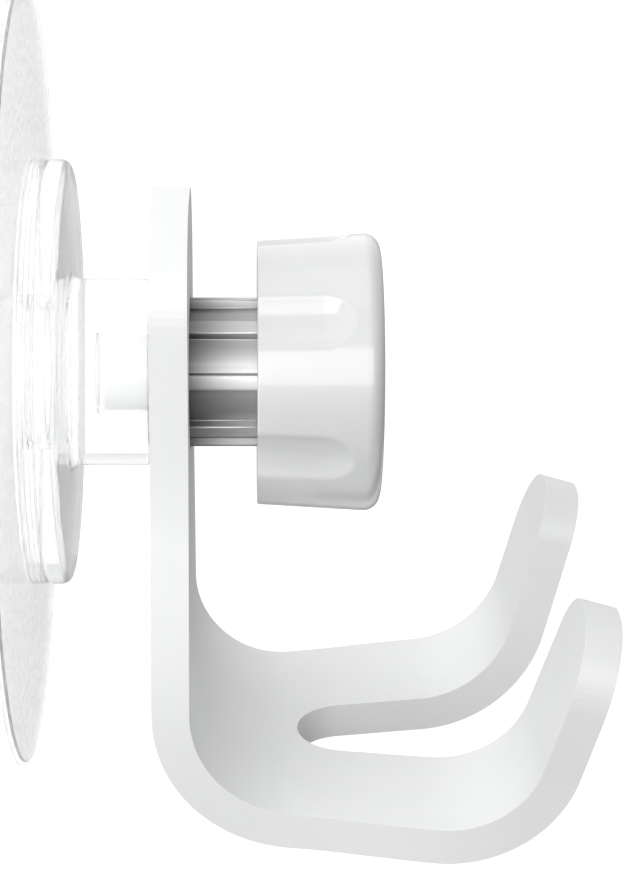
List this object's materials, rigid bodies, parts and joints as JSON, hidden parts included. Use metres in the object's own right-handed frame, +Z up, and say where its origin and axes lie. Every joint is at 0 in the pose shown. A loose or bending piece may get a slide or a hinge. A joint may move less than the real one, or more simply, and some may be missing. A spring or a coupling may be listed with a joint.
{
  "type": "headphone hook",
  "caption": "Stick-on wall hook for headphones: clear adhesive base, ribbed metal post, forked white J bracket and a screw-down knob.",
  "frame": {"origin": "middle of the pad's sticky face, where it meets the wall, on the axis of the post", "axes": "+X out of the wall along the post, +Z up the wall, Y across the hook"},
  "size_m": [0.0597, 0.08, 0.0844],
  "materials": {
    "adhesive_gel": "soft clear acrylic gel, slightly hazy",
    "clear_film": "clear polished film",
    "clear_plastic": "clear moulded plastic, polished, with faint moulding rings",
    "post_metal": "satin grey metal, drawn along its length",
    "insert_brass": "turned",
    "bracket_white": "white, satin, smooth",
    "washer_plastic": "natural nylon",
    "knob_white": "white, glossy moulded",
    "screw_steel": "zinc plated"
  },
  "bodies": {
    "base": {"adhesive_gel": "adhesive_gel", "carrier_film": "clear_film", "base_back_disc": "clear_plastic", "base_front_disc": "clear_plastic", "splined_post": "post_metal", "threaded_insert": "insert_brass"},
    "bracket": {"hook_bracket": "bracket_white"},
    "washer": {"thrust_washer": "washer_plastic"},
    "knob": {"knob_body": "knob_white", "knob_cap": "knob_white", "knob_screw": "screw_steel"}
  },
  "joints": [
    {"name": "bracket_swivel", "type": "hinge", "parent": "base", "child": "bracket", "pos_m": [0.017, 0, 0], "axis": [1, 0, 0], "continuous": true},
    {"name": "knob_travel", "type": "slide", "parent": "base", "child": "washer", "axis": [1, 0, 0], "range_m": [-0.0065, 0]},
    {"name": "knob_turn", "type": "hinge", "parent": "washer", "child": "knob", "pos_m": [0.0238, 0, 0], "axis": [1, 0, 0], "range_deg": [-2341, 0]}
  ],
  "couplings": [
    {"joint": "knob_turn", "follows": "knob_travel", "rad_per_m": 6283.2}
  ]
}
